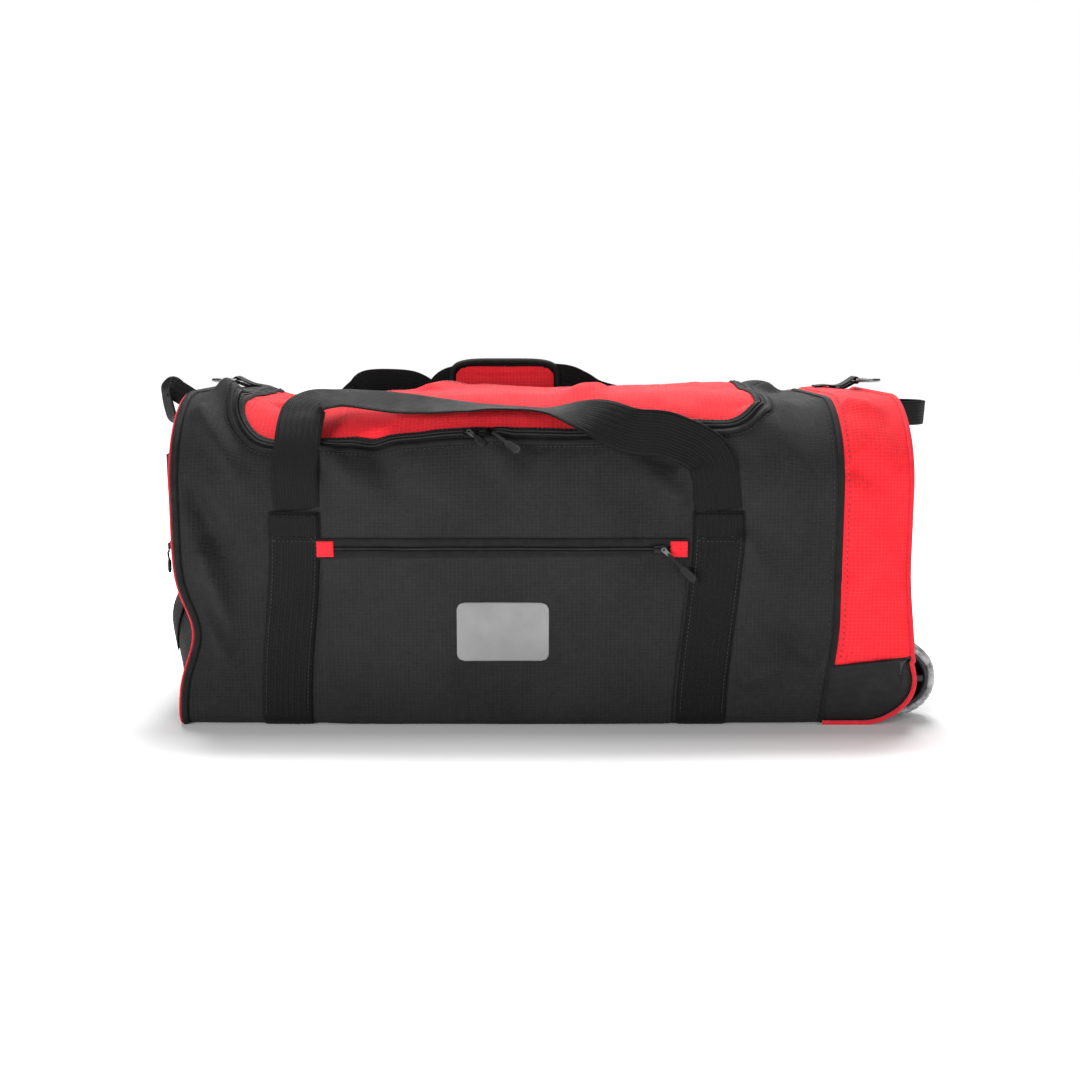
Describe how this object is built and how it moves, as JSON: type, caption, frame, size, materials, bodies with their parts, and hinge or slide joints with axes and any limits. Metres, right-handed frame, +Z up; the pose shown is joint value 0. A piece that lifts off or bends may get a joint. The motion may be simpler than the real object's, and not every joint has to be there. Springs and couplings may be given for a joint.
{
  "type": "rolling duffel bag",
  "caption": "Black and red wheeled duffel bag with a zipped hinged lid, carry handles, a front pocket and two wheels at one end.",
  "frame": {"origin": "middle of the base on the floor plane, halfway along the body between its end seams", "axes": "+X towards the wheel end, -Y the front face with the pocket, +Z up"},
  "size_m": [0.816, 0.37, 0.3636],
  "materials": {
    "ripstop_black": "black ripstop polyester",
    "ripstop_red": "red ripstop polyester",
    "webbing_black": "woven polyester webbing",
    "piping_red": "red piping cord",
    "binding_black": "woven binding tape",
    "zip_black": "coil zip",
    "pull_black": "moulded pull",
    "slider_black": "black enamelled slider",
    "reflective_grey": "reflective film",
    "guard_black": "coated wear guard",
    "housing_black": "moulded polypropylene",
    "board_black": "polyethylene board",
    "tyre_grey": "polyurethane tyre",
    "hub_black": "moulded hub",
    "steel": "zinc-plated steel"
  },
  "bodies": {
    "bag_body": {"bottom_panel": "guard_black", "front_panel": "ripstop_black", "back_panel": "ripstop_black", "top_left_yoke": "ripstop_black", "top_right_yoke": "ripstop_black", "left_end_panel": "ripstop_black", "left_end_piping": "piping_red", "wheel_end_gusset": "ripstop_red", "wheel_end_guard": "guard_black", "wheel_end_panel": "ripstop_black", "wheel_end_piping": "piping_red", "ring_binding": "binding_black", "base_board": "board_black", "wheel_housing_front": "housing_black", "wheel_housing_back": "housing_black", "axle_bolts": "steel", "axle_nuts": "steel", "housing_rivets": "steel", "strap_front_left": "webbing_black", "strap_front_right": "webbing_black", "strap_back_left": "webbing_black", "strap_back_right": "webbing_black", "handle_anchor_patches": "webbing_black", "front_pocket_panel": "ripstop_black", "pocket_zip_tape": "zip_black", "pocket_zip_tabs": "ripstop_red", "front_patch": "reflective_grey", "end_pocket_panel": "ripstop_black", "end_pocket_zip_tape": "zip_black", "end_grab_handle": "webbing_black", "left_corner_loop": "webbing_black", "wheel_end_loop": "webbing_black", "d_ring_tabs": "webbing_black", "main_zip_tape": "zip_black", "main_zip_teeth": "zip_black"},
    "lid": {"lid_panel": "ripstop_red", "lid_binding": "binding_black", "lid_zip_teeth": "zip_black"},
    "main_slider_left": {"main_slider_left": "slider_black"},
    "main_pull_left": {"main_pull_left": "pull_black"},
    "main_slider_right": {"main_slider_right": "slider_black"},
    "main_pull_right": {"main_pull_right": "pull_black"},
    "pocket_slider": {"pocket_slider": "slider_black"},
    "pocket_pull": {"pocket_pull": "pull_black"},
    "end_slider": {"end_slider": "slider_black"},
    "end_pull": {"end_pull": "pull_black"},
    "front_handle": {"front_handle": "webbing_black"},
    "rear_handle": {"rear_handle": "webbing_black", "grip_wrap": "ripstop_red", "grip_binding": "binding_black"},
    "wheel_front": {"wheel_tyre_front": "tyre_grey", "wheel_hub_front": "hub_black", "wheel_bearings_front": "steel"},
    "wheel_back": {"wheel_tyre_back": "tyre_grey", "wheel_hub_back": "hub_black", "wheel_bearings_back": "steel"},
    "d_ring_left": {"d_ring_left": "steel"},
    "d_ring_right": {"d_ring_right": "steel"}
  },
  "joints": [
    {"name": "lid_hinge", "type": "hinge", "parent": "bag_body", "child": "lid", "pos_m": [0, 0.075, 0.335], "axis": [-1, 0, 0], "range_deg": [0, 95]},
    {"name": "front_handle_swing", "type": "hinge", "parent": "bag_body", "child": "front_handle", "pos_m": [0, -0.1808, 0.222], "axis": [1, 0, 0], "range_deg": [0, 161.5]},
    {"name": "rear_handle_swing", "type": "hinge", "parent": "bag_body", "child": "rear_handle", "pos_m": [0, 0.1808, 0.222], "axis": [-1, 0, 0], "range_deg": [0, 165]},
    {"name": "main_slider_left_slide", "type": "slide", "parent": "bag_body", "child": "main_slider_left", "axis": [-1, 0, 0], "range_m": [0, 0.13]},
    {"name": "main_slider_right_slide", "type": "slide", "parent": "bag_body", "child": "main_slider_right", "axis": [1, 0, 0], "range_m": [0, 0.085]},
    {"name": "main_pull_left_flip", "type": "hinge", "parent": "main_slider_left", "child": "main_pull_left", "pos_m": [-0.077, -0.16748, 0.29255], "axis": [-0.7071, -0.3641, -0.6061], "range_deg": [0, 120]},
    {"name": "main_pull_right_flip", "type": "hinge", "parent": "main_slider_right", "child": "main_pull_right", "pos_m": [-0.058, -0.16748, 0.29255], "axis": [-0.7071, -0.3641, -0.6061], "range_deg": [0, 120]},
    {"name": "pocket_slider_slide", "type": "slide", "parent": "bag_body", "child": "pocket_slider", "axis": [-1, 0, 0], "range_m": [0, 0.3]},
    {"name": "pocket_pull_flip", "type": "hinge", "parent": "pocket_slider", "child": "pocket_pull", "pos_m": [0.115, -0.18405, 0.184], "axis": [-0.7071, 0, -0.7071], "range_deg": [0, 120]},
    {"name": "end_slider_slide", "type": "slide", "parent": "bag_body", "child": "end_slider", "axis": [0, 1, 0], "range_m": [0, 0.164]},
    {"name": "end_pull_flip", "type": "hinge", "parent": "end_slider", "child": "end_pull", "pos_m": [-0.40105, -0.082, 0.172], "axis": [0, 1, 0], "range_deg": [0, 120]},
    {"name": "wheel_front_spin", "type": "hinge", "parent": "bag_body", "child": "wheel_front", "pos_m": [0.362, -0.133, 0.042], "axis": [0, 1, 0], "continuous": true},
    {"name": "wheel_back_spin", "type": "hinge", "parent": "bag_body", "child": "wheel_back", "pos_m": [0.362, 0.133, 0.042], "axis": [0, 1, 0], "continuous": true},
    {"name": "d_ring_left_swing", "type": "hinge", "parent": "bag_body", "child": "d_ring_left", "pos_m": [-0.354, 0.06, 0.3405], "axis": [0, 1, 0], "range_deg": [0, 150]},
    {"name": "d_ring_right_swing", "type": "hinge", "parent": "bag_body", "child": "d_ring_right", "pos_m": [0.354, 0.06, 0.3405], "axis": [0, -1, 0], "range_deg": [0, 150]}
  ],
  "couplings": [
    {"joint": "front_handle_swing", "follows": "lid_hinge", "ratio": 1.7}
  ]
}
